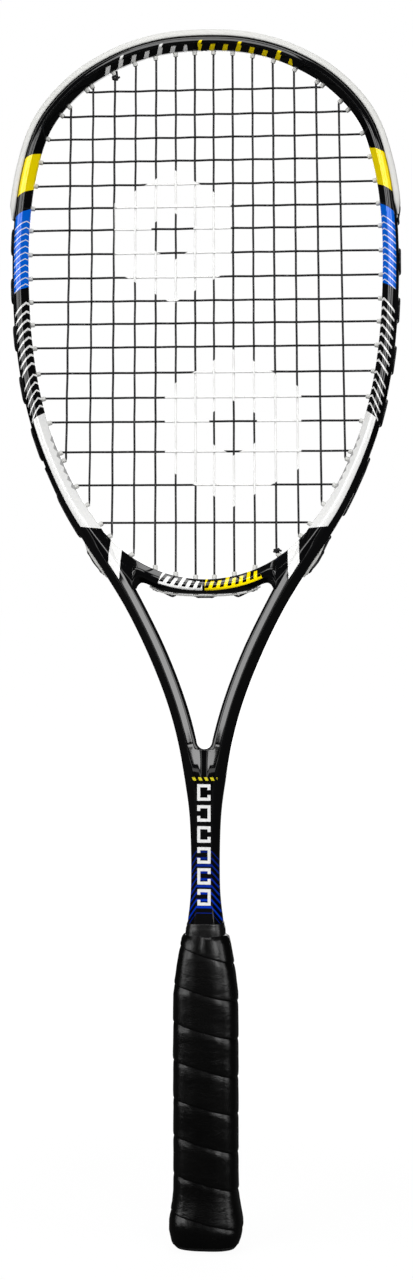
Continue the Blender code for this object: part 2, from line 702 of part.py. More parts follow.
def main():
    clear_scene()
    carbon = make_material("black_lacquer", (0.012, 0.012, 0.014), 0.18)
    plastic = make_material("light_grey_nylon", (0.74, 0.74, 0.72), 0.42)
    gut = make_material("charcoal_string", (0.035, 0.035, 0.038), 0.38)
    foam = make_material("pallet_foam", (0.30, 0.28, 0.25), 0.85)
    cap_plastic = make_material("cap_plastic", (0.02, 0.02, 0.022), 0.45)
    steel = make_material("staple_steel", (0.62, 0.62, 0.60), 0.35, 1.0)
    grip = make_material("black_grip", (0.022, 0.022, 0.024), 0.55)
    tape = make_material("finishing_tape", (0.018, 0.018, 0.02), 0.40)
    build_frame(carbon)
    build_bridge(carbon)
    build_bumper(plastic)
    build_side_strips(plastic)
    build_shoulders(plastic)
    build_bridge_strip(plastic)
    build_string(gut)
    build_handle(foam, cap_plastic, steel, grip, tape)


main()
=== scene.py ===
"""The squash racket's looks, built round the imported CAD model.

Points are in millimetres in the CAD model's own frame: +Z up the shaft, string bed in the XZ plane,
front towards -Y. Every visible piece is rebuilt finely in the place of its CAD node.
"""
import math
from collections import namedtuple

import bmesh
import bpy
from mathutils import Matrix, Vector, noise


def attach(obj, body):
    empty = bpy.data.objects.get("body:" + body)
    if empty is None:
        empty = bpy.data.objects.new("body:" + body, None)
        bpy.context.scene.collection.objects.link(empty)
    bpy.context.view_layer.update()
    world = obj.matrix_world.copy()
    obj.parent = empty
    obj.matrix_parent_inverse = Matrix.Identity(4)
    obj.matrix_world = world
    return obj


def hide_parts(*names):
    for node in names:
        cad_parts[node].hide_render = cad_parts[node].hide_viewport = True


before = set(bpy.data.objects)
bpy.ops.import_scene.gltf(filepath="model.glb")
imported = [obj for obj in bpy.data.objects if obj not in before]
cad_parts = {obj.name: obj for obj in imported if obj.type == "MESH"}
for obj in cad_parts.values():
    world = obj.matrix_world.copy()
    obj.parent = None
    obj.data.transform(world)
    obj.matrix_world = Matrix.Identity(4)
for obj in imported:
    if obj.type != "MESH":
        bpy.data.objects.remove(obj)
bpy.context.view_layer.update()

MM = 0.001

# ---- frame outline: (half width x, height z, beam width), from the head's top to the butt ----
FRAME_OUTLINE = (
    (0.0, 683.2, 8.4), (27.0, 681.0, 8.4), (52.2, 672.9, 8.2), (75.8, 658.1, 8.1),
    (94.5, 636.0, 8.1), (104.2, 608.0, 8.6), (108.6, 576.0, 8.9), (109.2, 540.0, 9.2),
    (106.8, 505.0, 9.3), (101.2, 473.0, 9.5), (92.8, 446.0, 9.9), (80.9, 419.0, 11.0),
    (69.2, 399.0, 12.5), (57.3, 381.0, 11.6), (44.0, 359.0, 10.5), (31.6, 333.5, 10.6),
    (21.8, 308.5, 10.6), (15.5, 286.0, 10.8), (11.3, 263.0, 10.8), (8.9, 245.0, 10.8),
    (8.0, 225.0, 10.8), (8.0, 205.0, 10.8), (8.7, 194.0, 10.8), (10.1, 182.0, 10.8),
    (10.6, 168.0, 10.8), (10.6, 12.0, 10.8),
)
OUTLINE_STEPS = 14
CROTCH_RADIUS = 4.4
CROTCH_CENTRE = Vector((0.0, 286.0))
CROTCH_STEP = 0.5               # longest step of the inner edge round the foot of the throat
HOOP_LOW_Z = 385.0              # the outline above this height is the hoop
# half of the beam's section: (fraction of the width from the outside in, half depth)
HOOP_PROFILE = ((0.0, 2.6), (0.25, 7.8), (0.42, 8.9), (0.62, 9.2), (1.0, 2.3))
ARM_PROFILE = ((0.0, 2.8), (0.42, 9.4), (0.66, 8.6), (0.90, 7.8), (1.0, 5.2))
CROTCH_PROFILE = ((0.0, 3.0), (0.42, 9.4), (0.66, 8.5), (0.90, 7.6), (1.0, 6.2))
SHAFT_PROFILE = ((0.0, 3.2), (0.46, 8.9), (0.64, 9.0), (0.82, 9.0), (1.0, 9.0))
HOOP_END_Z, ARM_START_Z, ARM_END_Z, CROTCH_Z, SHAFT_START_Z = 405.0, 372.0, 296.0, 281.0, 258.0
SECTION_ROUNDING = 0.9

# ---- throat bridge ----
HEAD_ARC_RADIUS = 75.0
HEAD_ARC_Z = 452.0
BRIDGE_UNDERSIDE = (
    (0.0, 368.4), (13.0, 368.7), (23.0, 370.1), (29.0, 372.3), (33.0, 374.3), (36.0, 374.7), (38.2, 372.6),
    (39.6, 368.0), (40.4, 364.0),
)
BRIDGE_TIP_X = 57.0
BRIDGE_TIP_RISE = 18.0
BRIDGE_TAPER_X, BRIDGE_TAPER = 42.0, 15.0
BRIDGE_PROFILE = ((0.0, 2.4), (0.30, 8.0), (0.5, 8.5), (0.70, 8.2), (1.0, 2.6))
BRIDGE_TIP_PROFILE = ((0.0, 2.2), (0.30, 5.0), (0.5, 5.4), (0.70, 5.0), (1.0, 2.6))

# ---- string ----
STRING_RADIUS = 0.62
MAINS_PER_SIDE = 7
MAIN_FIRST_X = 5.3
MAIN_TOP_PITCH = 10.55
MAIN_BOTTOM_PITCH = 11.1
MAIN_PITCH_GROWTH = 0.2
CROSS_TOP_Z = 652.9
# hand strung: the crosses lie up to two millimetres off even spacing
CROSS_GAPS = (
    13.8, 12.9, 13.0, 13.3, 12.7, 12.5, 13.6, 13.6, 13.3, 12.8, 13.3, 14.5, 14.1, 13.6, 17.0, 18.8, 21.3,
)
WEAVE = 0.62                    # how far a string bends to each side at a crossing
RUN_SIDE = 1.7                  # how far a loop outside the hoop lies from its middle plane
SEATING = 0.12                  # how far a loop is drawn into the plastic under it
STRING_SIDES = 8
KNOT_TURNS, KNOT_STEPS = 2.2, 12

# ---- grommets ----
BARREL_RADIUS = 1.3
BARREL_BORE = 0.74
BARREL_PROUD = 2.2
BARREL_SIDES = 14
STRIP_THICKNESS = 0.9
STRIP_HALF_WIDTH = 2.5
SIDE_FLANGE = 0.06              # outer face of the thin side strips, let into the hoop
SHOULDER_THICKNESS = 1.6
SHOULDER_RUN_OUT = 4.0          # how far a shoulder pad runs past its two barrels
BUMPER_FLOOR = 0.9
BUMPER_END_Z = 579.0
BUMPER_TAPER = 9.0
GAP = 0.3
BUMPER_PROFILE = ((0.3, 2.7), (-1.0, 5.7), (-0.6, 6.9), (1.9, 6.2), (2.8, 5.2), (2.8, 3.3), (1.2, 2.7))
BUMPER_END_PROFILE = ((0.3, 2.7), (0.0, 3.4), (0.4, 4.2), (0.9, 4.2), (1.1, 3.8), (1.2, 3.3), (1.2, 2.7))

# ---- handle: (height, half width, half depth) of the wrapped surface ----
GRIP_SHAPE = (
    (4.2, 19.0, 16.4), (7.5, 20.2, 17.4), (14.0, 21.0, 18.0), (22.0, 20.0, 17.1), (30.0, 18.7, 15.8),
    (48.0, 18.4, 15.6), (136.0, 18.4, 15.6), (146.0, 18.0, 15.4), (154.0, 17.1, 15.0), (162.0, 15.9, 14.4),
    (170.0, 14.5, 13.7), (175.4, 13.4, 12.9), (176.4, 12.8, 12.3), (177.0, 11.5, 11.0),
)
HANDLE_SQUARENESS = 3.0         # exponent of the handle's superellipse
BAND_PITCH = 21.2
BAND_OVERLAP = 3.2
BAND_LEFT_EDGE_Z = 23.2         # a lower edge of the band at the handle's left side
BAND_STEPS_PER_TURN = 72
BAND_PROUD = 1.25               # the handle's measures reach this far over the underlay
BAND_EVENNESS = 0.7             # how nearly straight the band crosses the handle's front and back
GRIP_BOTTOM_Z = 4.2
GRIP_TOP_Z = 177.0
HANDLE_SIDES = 64


# ---- mesh tools ----

def lerp(a, b, t):
    return a + (b - a) * t


def full_turn(steps):
    """The angles of a full turn in equal steps."""
    return [math.tau * k / steps for k in range(steps)]


def smoothstep(t):
    t = min(1.0, max(0.0, t))
    return t * t * (3 - 2 * t)


def table_at(table, x):
    """The rest of a table's row at a value of its first column, interpolated."""
    x = min(max(x, table[0][0]), table[-1][0])
    low, high = next((p, q) for p, q in zip(table, table[1:]) if p[0] <= x <= q[0] and p[0] < q[0])
    return tuple(lerp(a, b, (x - low[0]) / (high[0] - low[0])) for a, b in zip(low[1:], high[1:]))


def catmull(points, steps, before=None):
    """Catmull-Rom curve through tuples of numbers."""
    padded = [before or points[0], *points, points[-1]]
    curve = []
    for p0, p1, p2, p3 in zip(padded, padded[1:], padded[2:], padded[3:]):
        for step in range(steps):
            t = step / steps
            curve.append(tuple(
                0.5 * (2 * b + (c - a) * t + (2 * a - 5 * b + 4 * c - d) * t ** 2
                       + (3 * b - a - 3 * c + d) * t ** 3)
                for a, b, c, d in zip(p0, p1, p2, p3)))
    curve.append(tuple(points[-1]))
    return curve


def rounded(corners, radius, arc=2):
    """A closed ring with each corner rounded; the corners are Vectors of any size."""
    ring = []
    count = len(corners)
    for index, corner in enumerate(corners):
        before, after = corners[index - 1], corners[(index + 1) % count]
        cut_in = min(radius / max((before - corner).length, 1e-6), 0.46)
        cut_out = min(radius / max((after - corner).length, 1e-6), 0.46)
        start, end = corner.lerp(before, cut_in), corner.lerp(after, cut_out)
        for step in range(arc + 1):
            t = step / arc
            ring.append(start.lerp(corner, t).lerp(corner.lerp(end, t), t))
    return ring


class Skin:
    """A mesh under construction whose vertices carry how far along and across the piece they lie."""

    def __init__(self):
        self.bm = bmesh.new()
        self.along = self.bm.verts.layers.float.new("along")
        self.across = self.bm.verts.layers.float.new("across")

    def vertex(self, point, along=0.0, across=0.0):
        vert = self.bm.verts.new(Vector(point[:3]) * MM)
        vert[self.along] = along
        vert[self.across] = across
        return vert

    def loft(self, rings, along=None, skip=lambda ring, side: False, capped=True):
        """Rings of points (x, y, z) or (x, y, z, across), joined one to the next."""
        along = along or [0.0] * len(rings)
        loops = []
        for ring, place in zip(rings, along):
            loops.append([self.vertex(p, place, p[3] if len(p) > 3 else 0.0) for p in ring])
        for index, (low, high) in enumerate(zip(loops, loops[1:])):
            count = len(low)
            for side in range(count):
                if not skip(index, side):
                    after = (side + 1) % count
                    self.bm.faces.new((low[side], low[after], high[after], high[side]))
        if capped:
            self.bm.faces.new(list(reversed(loops[0])))
            self.bm.faces.new(loops[-1])

    def finish(self, name, material, slot, replaced=(), sharp=50.0, merge=1e-6):
        bm = self.bm
        bmesh.ops.remove_doubles(bm, verts=bm.verts[:], dist=merge)
        bmesh.ops.dissolve_degenerate(bm, edges=bm.edges[:], dist=merge)
        bmesh.ops.recalc_face_normals(bm, faces=bm.faces[:])
        mesh = bpy.data.meshes.new(name)
        bm.to_mesh(mesh)
        bm.free()
        mesh.shade_smooth()
        mesh.set_sharp_from_angle(angle=math.radians(sharp))
        mesh.materials.append(material)
        obj = bpy.data.objects.new(name, mesh)
        bpy.context.scene.collection.objects.link(obj)
        weighted = obj.modifiers.new("weighted_normals", 'WEIGHTED_NORMAL')
        weighted.keep_sharp = True
        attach(obj, "root")
        if replaced:
            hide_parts(*replaced)
        return obj


def string_rings(points):
    """Rings of a string along a path, turned as little as possible from one to the next."""
    points = [Vector(p) for p in points]
    rings = []
    normal = Vector((0.0, 1.0, 0.0))
    for index, point in enumerate(points):
        ahead = points[min(index + 1, len(points) - 1)]
        behind = points[max(index - 1, 0)]
        tangent = (ahead - behind).normalized()
        normal = (normal - tangent * normal.dot(tangent)).normalized()
        other = tangent.cross(normal)
        rings.append([point + (normal * math.cos(angle) + other * math.sin(angle)) * STRING_RADIUS
                      for angle in full_turn(STRING_SIDES)])
    return rings


# ---- outline of the frame ----

def mirrored(point):
    return (-point[0], *point[1:])


class Station(namedtuple("Station", "outer inward width along")):
    """A place on the right half of the outline."""

    def edge(self):
        return self.outer + self.inward * self.width


def make_stations(steps):
    curve = [*catmull(FRAME_OUTLINE[:-1], steps, mirrored(FRAME_OUTLINE[1])), FRAME_OUTLINE[-1]]
    stations = []
    along = 0.0
    for index, (x, z, width) in enumerate(curve):
        ahead = curve[min(index + 1, len(curve) - 1)]
        behind = curve[index - 1] if index else mirrored(curve[1])
        tangent = Vector((ahead[0] - behind[0], ahead[1] - behind[1])).normalized()
        outer = Vector((x, z))
        if stations:
            along += (outer - stations[-1].outer).length
        stations.append(Station(outer, Vector((tangent.y, -tangent.x)), width, along))
    return stations


STATIONS = make_stations(OUTLINE_STEPS)


def inner_point(station):
    """The beam's inner edge: free, on the throat opening's rounded foot, or on the shaft's middle line."""
    edge = station.edge()
    if edge.y > CROTCH_CENTRE.y:
        return edge
    offset = station.outer - CROTCH_CENTRE
    half_b = offset.dot(station.inward)
    rest = half_b ** 2 - (offset.length_squared - CROTCH_RADIUS ** 2)
    if rest > 0.0:
        hit = station.outer + station.inward * (-half_b - math.sqrt(rest))
        if hit.x > 0.0:
            return hit
    return station.outer + station.inward * (station.outer.x / -station.inward.x)


def refined(stations):
    """The stations, with more between any two whose inner points lie far apart."""
    fine = [stations[0]]
    for a, b in zip(stations, stations[1:]):
        near_crotch = SHAFT_START_Z - 12.0 <= a.outer.y <= ARM_END_Z
        count = math.ceil((inner_point(b) - inner_point(a)).length / CROTCH_STEP) if near_crotch else 1
        for step in range(1, count):
            t = step / count
            fine.append(Station(a.outer.lerp(b.outer, t), a.inward.lerp(b.inward, t).normalized(),
                                lerp(a.width, b.width, t), lerp(a.along, b.along, t)))
        fine.append(b)
    return fine


def along_at(z, edge):
    """How far along the hoop its outer edge (edge 0) or inner edge (edge 1) has a height."""
    hoop = [s for s in STATIONS if s.outer.y > HOOP_LOW_Z]
    return min(hoop, key=lambda s: abs((s.edge() if edge else s.outer).y - z)).along


def blend_profiles(first, second, t):
    """The first profile changing smoothly to the second as t goes from 0 to 1."""
    t = smoothstep(t)
    return [tuple(lerp(a, b, t) for a, b in zip(p, q)) for p, q in zip(first, second)]


def frame_profile(z):
    if z >= ARM_END_Z:
        return blend_profiles(ARM_PROFILE, HOOP_PROFILE, (z - ARM_START_Z) / (HOOP_END_Z - ARM_START_Z))
    if z >= CROTCH_Z:
        return blend_profiles(CROTCH_PROFILE, ARM_PROFILE, (z - CROTCH_Z) / (ARM_END_Z - CROTCH_Z))
    return blend_profiles(SHAFT_PROFILE, CROTCH_PROFILE, (z - SHAFT_START_Z) / (CROTCH_Z - SHAFT_START_Z))


def section_ring(outer, inner, profile, side, width=None, rounding=SECTION_ROUNDING):
    """Rounded ring of a beam section, front half then back half, with how far across each point is.

    Where the section reaches further than its nominal width, only its last facet gets longer.
    """
    front = []
    reach = (inner - outer).length
    for fraction, depth in profile:
        share = fraction if fraction == 1.0 or width is None else fraction * min(width, reach) / reach
        point = outer.lerp(inner, share)
        front.append(Vector((side * point.x, -depth, point.y, fraction)))
    back = [Vector((p.x, -p.y, p.z, p.w)) for p in reversed(front)]
    return rounded(front + back, rounding)


# ---- string ports ----

class Port(namedtuple("Port", "tip exit outward")):
    """One end of a string run: its inner tip, its exit on the outer wall and the way out."""

    def mirror(self):
        return Port(*(vector * Vector((-1.0, 1.0)) for vector in self))

    def place(self, along, side=0.0, shift=0.0):
        tangent = Vector((self.outward.y, -self.outward.x))
        point = self.exit + self.outward * along + tangent * shift
        return (point.x, side, point.y)

    def inside(self):
        return (self.tip.x, 0.0, self.tip.y)


def hoop_port(target, axis, z_low, z_high):
    """The port whose tip has the target x (axis 0) or z (axis 1) between two heights."""
    near = [s for s in STATIONS if z_low <= s.outer.y <= z_high]
    tips = [s.outer + s.inward * (s.width + BARREL_PROUD) for s in near]
    for a, b, tip_a, tip_b in zip(near, near[1:], tips, tips[1:]):
        past_a, past_b = tip_a[axis] - target, tip_b[axis] - target
        if past_a * past_b <= 0.0 and past_a != past_b:
            t = past_a / (past_a - past_b)
            outward = -a.inward.lerp(b.inward, t).normalized()
            return Port(tip_a.lerp(tip_b, t), a.outer.lerp(b.outer, t), outward)
    raise ValueError(f"no port at {target}")


def head_arc_z(x, radius=HEAD_ARC_RADIUS):
    return HEAD_ARC_Z - math.sqrt(radius ** 2 - x ** 2)


def bridge_tip(x):
    """The inner tip of a barrel that stands out of the bridge's upper face."""
    return Vector((x, head_arc_z(x, HEAD_ARC_RADIUS - BARREL_PROUD)))


def shoulder_port(x):
    tip = bridge_tip(x)
    outer = min((s.outer for s in STATIONS), key=lambda point: (point - tip).length)
    return Port(tip, outer, (outer - tip).normalized())


def bridge_port(x):
    return Port(bridge_tip(x), Vector((x, *table_at(BRIDGE_UNDERSIDE, x))), Vector((0.0, -1.0)))


def spread(pitch, index):
    return MAIN_FIRST_X + pitch * index + MAIN_PITCH_GROWTH * index ** 2


CROSS_HEIGHTS = [CROSS_TOP_Z - sum(CROSS_GAPS[:index]) for index in range(len(CROSS_GAPS) + 1)]
TOP_PORTS = [hoop_port(spread(MAIN_TOP_PITCH, k), 0, 600.0, 690.0) for k in range(MAINS_PER_SIDE)]
BRIDGE_PORTS = [bridge_port(spread(MAIN_BOTTOM_PITCH, k)) for k in (0, 1, 2)]
SHOULDER_PORTS = [shoulder_port(spread(MAIN_BOTTOM_PITCH, k)) for k in (3, 4)]
LOWER_PORTS = [hoop_port(spread(MAIN_BOTTOM_PITCH, k), 0, 395.0, 480.0) for k in (5, 6)]
BOTTOM_PORTS = BRIDGE_PORTS + SHOULDER_PORTS + LOWER_PORTS
CROSS_PORTS = [hoop_port(z, 1, 380.0, 690.0) for z in CROSS_HEIGHTS]
GUARDED_CROSSES = [port for port in CROSS_PORTS if port.exit.y > BUMPER_END_Z]
SIDE_CROSSES = [port for port in CROSS_PORTS if port.exit.y <= BUMPER_END_Z]


def ports_on(side, ports):
    return ports if side > 0 else [port.mirror() for port in ports]


def both_sides(ports):
    return ports + ports_on(-1, ports)


def both_halves(half):
    """Items of the right half as (side, item), from the left end over the middle to the right end."""
    return [(-1, item) for item in reversed(half)] + [(1, item) for item in half[1:]]


def underside_curve():
    return catmull(BRIDGE_UNDERSIDE, 4, mirrored(BRIDGE_UNDERSIDE[1]))


# ---- shader tools ----

class Field:
    """A number in a node tree: arithmetic on it adds Math nodes."""

    def __init__(self, tree, socket):
        self.tree = tree
        self.socket = socket

    def apply(self, operation, *others, clamp=False):
        node = self.tree.nodes.new("ShaderNodeMath")
        node.operation = operation
        node.use_clamp = clamp
        for target, value in zip(node.inputs, (self, *others)):
            if isinstance(value, Field):
                self.tree.links.new(value.socket, target)
            else:
                target.default_value = value
        return Field(self.tree, node.outputs[0])

    def __add__(self, other):
        return self.apply('ADD', other)

    def __sub__(self, other):
        return self.apply('SUBTRACT', other)

    def __mul__(self, other):
        return self.apply('MULTIPLY', other)

    def __truediv__(self, other):
        return self.apply('DIVIDE', other)

    def size(self):
        return self.apply('ABSOLUTE')

    def above(self, edge, soft=0.12):
        """1 where the number is above the edge, 0 below it."""
        return ((self - edge) / soft + 0.5).apply('ADD', 0.0, clamp=True)

    def below(self, edge, soft=0.12):
        return self.above(edge, -soft)

    def between(self, low, high, soft=0.12):
        return self.above(low, soft) * self.below(high, soft)

    def repeat(self, length):
        """The number's remainder, from 0 to the length."""
        return self.apply('FLOORED_MODULO', length)

    def either(self, other):
        return self.apply('MAXIMUM', other)


class Finish:
    """A procedural material: coordinates in millimetres, noise, masks and a Principled shader."""

    def __init__(self, name):
        self.material = bpy.data.materials.new(name)
        self.material.use_nodes = True
        self.tree = self.material.node_tree
        self.shader = self.tree.nodes["Principled BSDF"]
        self.place = self.node("ShaderNodeTexCoord").outputs["Object"]
        parts = self.node("ShaderNodeSeparateXYZ")
        self.link(self.place, parts.inputs[0])
        self.x, self.y, self.z = (Field(self.tree, parts.outputs[k]) * (1 / MM) for k in range(3))

    def node(self, kind, **settings):
        node = self.tree.nodes.new(kind)
        for key, value in settings.items():
            setattr(node, key, value)
        return node

    def link(self, source, target):
        self.tree.links.new(source, target)

    def attribute(self, name):
        return Field(self.tree, self.node("ShaderNodeAttribute", attribute_name=name).outputs["Fac"])

    def texture(self, kind, size, stretch, **settings):
        """A texture node whose features are about this many millimetres across."""
        scaled = self.node("ShaderNodeVectorMath", operation='MULTIPLY')
        self.link(self.place, scaled.inputs[0])
        scaled.inputs[1].default_value = stretch
        made = self.node(kind, **settings)
        self.link(scaled.outputs[0], made.inputs["Vector"])
        made.inputs["Scale"].default_value = 1.0 / (size * MM)
        return made

    def noise(self, size, detail=3.0, stretch=(1.0, 1.0, 1.0)):
        made = self.texture("ShaderNodeTexNoise", size, stretch)
        made.inputs["Detail"].default_value = detail
        return Field(self.tree, made.outputs["Fac"])

    def cells(self, size, feature='F1', stretch=(1.0, 1.0, 1.0)):
        made = self.texture("ShaderNodeTexVoronoi", size, stretch, feature=feature)
        return Field(self.tree, made.outputs["Distance"])

    def mix(self, mask, first, second):
        """The first colour where the mask is 0 and the second where it is 1."""
        node = self.node("ShaderNodeMix", data_type='RGBA')
        self.link(mask.socket, node.inputs["Factor"])
        for target, colour in ((node.inputs["A"], first), (node.inputs["B"], second)):
            if isinstance(colour, tuple):
                target.default_value = (*colour, 1.0)
            else:
                self.link(colour, target)
        return node.outputs["Result"]

    def set(self, **values):
        for key, value in values.items():
            self.shader.inputs[key.replace("_", " ")].default_value = value

    def made(self, colour, roughness, relief, depth, **values):
        """The finished material; the relief is a field of 0 to 1 and its depth is in millimetres."""
        bump = self.node("ShaderNodeBump")
        bump.inputs["Strength"].default_value = 1.0
        bump.inputs["Distance"].default_value = depth * MM
        self.link(relief.socket, bump.inputs["Height"])
        self.link(bump.outputs["Normal"], self.shader.inputs["Normal"])
        self.link(colour, self.shader.inputs["Base Color"])
        self.link(roughness.socket, self.shader.inputs["Roughness"])
        self.set(**values)
        return self.material


BLACK = (0.0012, 0.0012, 0.0014)
WHITE = (0.86, 0.86, 0.85)
YELLOW = (0.98, 0.76, 0.0)
BLUE = (0.0, 0.13, 0.74)
DEEP_BLUE = (0.0, 0.03, 0.46)
HOOK_ACROSS = 0.86              # where the hoop's stripes turn over, as a share of its width


def patch(along, across, start, end, outer=-0.1):
    """Mask of a slanted patch on the hoop: heights (outer, inner) where it starts and where it ends."""
    edges = []
    for outer_z, inner_z in (start, end):
        at_outer, at_inner = along_at(outer_z, 0), along_at(inner_z, 1)
        edges.append(across * (at_inner - at_outer) + at_outer)
    mask = (along - edges[0]).above(0.0) * (edges[1] - along).above(0.0)
    return mask * across.above(outer, 0.02)


def hooked_stripes(along, across, first_z, count, pitch, width, rise, start):
    """Stripes that rise towards the inner edge and turn over most of the way across."""
    ramp = across.apply('MINIMUM', HOOK_ACROSS) * rise
    hook = (across - HOOK_ACROSS).apply('MAXIMUM', 0.0) * (rise * 0.4)
    place = along - along_at(first_z, 0) + ramp - hook
    lines = place.repeat(pitch).between(0.2, 0.2 + width) * place.between(0.0, count * pitch)
    return lines * across.above(start, 0.02)


def black_lacquer(name, graphics):
    """Clear-coated black over faint unidirectional fibre, with graphics: pairs of mask and colour."""
    finish = Finish(name)
    fibre = finish.noise(0.5, 2.0, (1.0, 1.0, 0.12))
    colour = finish.mix(fibre, BLACK, (0.0030, 0.0030, 0.0034))
    for mask, paint in graphics(finish):
        colour = finish.mix(mask, colour, paint)
    return finish.made(colour, finish.noise(22.0, 4.0) * 0.10 + 0.20, finish.noise(2.4, 2.0), 0.006,
                       Coat_Weight=1.0, Coat_Roughness=0.06, Specular_IOR_Level=0.0)


def bar_mask(finish):
    """The white bars across both shoulders, on frame and bridge alike."""
    off_middle = finish.x.size()
    lean = (finish.z - 387.0) * 0.05
    foot = (finish.z - off_middle * 1.53).above(304.0)
    return (off_middle + lean).between(47.2, 53.8) * finish.z.below(404.0) * foot


def frame_graphics(finish):
    along, across = finish.attribute("along"), finish.attribute("across")
    x, z = finish.x, finish.z
    yield patch(along, across, (613.4, 618.5), (593.2, 598.3), outer=0.08), YELLOW
    blue = patch(along, across, (582.0, 586.6), (536.6, 542.2), outer=0.17)
    yield blue, BLUE
    yield blue * hooked_stripes(along, across, 573.5, 12, 3.63, 0.55, 8.5, 0.17), WHITE
    yield hooked_stripes(along, across, 525.8, 8, 5.03, 1.35, 10.8, 0.17), WHITE
    yield hooked_stripes(along, across, 481.6, 5, 4.65, 1.10, 12.5, 0.17), WHITE
    white = patch(along, across, (464.5, 471.5), (407.5, 405.6), outer=0.30)
    # painted shadow: grey teeth along the white patch's inner edge stand in for the shadows the grommets cast
    # there
    grommet_shadow_teeth = (across - (along.repeat(5.0) / 5.0 - 0.5).size() * 0.24).above(HOOK_ACROSS, 0.03)
    painted_grommet_shadow = grommet_shadow_teeth * along.between(along_at(456.0, 0), along_at(423.0, 0), 1.0)
    yield white, WHITE
    # the painted grommet shadow, grey over the white patch
    yield white * painted_grommet_shadow, (0.40, 0.40, 0.40)
    yield bar_mask(finish), WHITE
    # dashes on the hoop's inner facet, white on one half of the head's top and yellow on the other
    ticks = (x + across * 5.0).repeat(7.4)
    rows = across.above(0.72, 0.04) * ticks.between(0.6, 3.2)
    long_rows = across.above(0.50, 0.04) * (x + across * 5.0).repeat(22.2).between(0.6, 2.4)
    marks = rows.either(long_rows) * z.above(640.0)
    yield marks * x.between(-58.0, -9.0), WHITE
    yield marks * x.between(-3.0, 50.0), YELLOW
    # shaft: small yellow dashes, a white column of frames, blue chevrons under it
    dashes = (x + z * 0.5).repeat(3.4).between(0.4, 2.2) * z.between(264.2, 266.0) * x.size().below(7.6)
    yield dashes, (0.62, 0.55, 0.02)
    slope = x.size().apply('MAXIMUM', 4.4) * 1.5 + z
    fade = ((z * -1.0 + 240.0) / 45.0).apply('ADD', 0.0, clamp=True)
    lines = slope.repeat(3.9).between(0.4, 1.7) * slope.between(196.5, 231.5)
    yield lines * fade, DEEP_BLUE
    cell = (z - 192.8).repeat(11.75)
    odd = ((z - 192.8) / 23.5).repeat(1.0).above(0.5, 0.001) * 2.0 - 1.0
    ring = x.size().below(3.75) * cell.between(1.4, 10.6)
    hole = x.size().below(2.05) * cell.between(3.1, 8.9)
    gap = (x * odd).above(0.0) * cell.between(4.6, 7.4)
    yield ring * z.between(192.8, 263.3) * (hole.either(gap) * -1.0 + 1.0), (0.80, 0.80, 0.80)


def bridge_graphics(finish):
    x, z = finish.x, finish.z
    yield bar_mask(finish), WHITE
    down = (z * -1.0) + HEAD_ARC_Z
    radial = (x * x + down * down).apply('SQRT')
    around = x.apply('ARCTAN2', down) * 79.0
    slanted = (around + radial * 0.35).repeat(4.3)
    low = radial.between(76.2, 81.4) * slanted.between(0.5, 2.6)
    tall = (around + radial * 0.35).repeat(12.9).between(0.5, 2.6) * radial.between(74.9, 81.4)
    link = radial.between(80.0, 81.4)
    marks = low.either(tall).either(link)
    yield marks * around.between(-25.5, -0.8), WHITE
    yield marks * around.between(0.6, 33.0), YELLOW


def nylon(name, tint):
    """Satin moulded nylon with scuffs and a faint flow texture."""
    finish = Finish(name)
    scuffs = finish.cells(7.0, 'DISTANCE_TO_EDGE', (1.0, 1.0, 0.35)).below(0.02, 0.03)
    grime = finish.noise(14.0, 5.0).above(0.60, 0.25)
    colour = finish.mix(finish.noise(30.0), tint, tuple(0.94 * c for c in tint))
    colour = finish.mix(scuffs * grime * 0.35, colour, (0.42, 0.42, 0.41))
    rough = finish.noise(5.0, 4.0) * 0.22 + 0.34
    return finish.made(colour, rough, finish.noise(1.2, 2.0), 0.008, Specular_IOR_Level=0.35)


def stencil(finish):
    """Two plain hexagonal rings painted over the string bed."""
    masks = []
    for centre_x, centre_z, outer, inner in ((-18.0, 570.5, 33.0, 12.0), (16.0, 462.0, 38.5, 13.5)):
        dx, dz = (finish.x - centre_x).size(), (finish.z - centre_z).size()
        hexagon = dx.either(dx * 0.5 + dz * 0.866)
        masks.append(hexagon.between(inner, outer, 0.5))
    return masks[0].either(masks[1])


def string_finish():
    """Charcoal multifilament with pale flecks, and worn white stencil paint."""
    finish = Finish("string_finish")
    flecks = finish.noise(0.7, 2.0).above(0.62, 0.08) * finish.noise(2.4, 1.0).above(0.46, 0.2)
    colour = finish.mix(flecks * 0.5, (0.005, 0.005, 0.006), (0.26, 0.26, 0.27))
    worn = finish.noise(1.0, 3.0).below(0.74, 0.1)
    colour = finish.mix(stencil(finish) * worn, colour, (0.84, 0.84, 0.83))
    rough = finish.noise(1.5) * 0.2 + 0.30
    return finish.made(colour, rough, finish.noise(0.35, 2.0), 0.03, Specular_IOR_Level=0.2)


def grip_finish():
    """Black cushioned polyurethane: fine pebble grain, soft creases and handling shine."""
    finish = Finish("grip_finish")
    shine = finish.noise(26.0, 3.0)
    colour = finish.mix(shine, (0.0006, 0.0006, 0.0006), (0.0015, 0.0015, 0.0014))
    dust = finish.noise(0.9, 5.0).above(0.66, 0.06)
    colour = finish.mix(dust * 0.05, colour, (0.06, 0.06, 0.06))
    relief = finish.noise(10.0, 4.0, (1.0, 1.0, 1.8)) * 0.9 + finish.cells(0.6) * 0.1
    return finish.made(colour, shine * 0.16 + 0.17, relief, 0.40, Specular_IOR_Level=0.30)


def tape_finish():
    finish = Finish("tape_finish")
    colour = finish.mix(finish.noise(6.0), (0.002, 0.002, 0.002), (0.006, 0.006, 0.006))
    rough = finish.noise(3.0, 4.0) * 0.2 + 0.20
    return finish.made(colour, rough, finish.noise(4.0, 3.0, (1.0, 1.0, 2.5)), 0.10, Specular_IOR_Level=0.4)


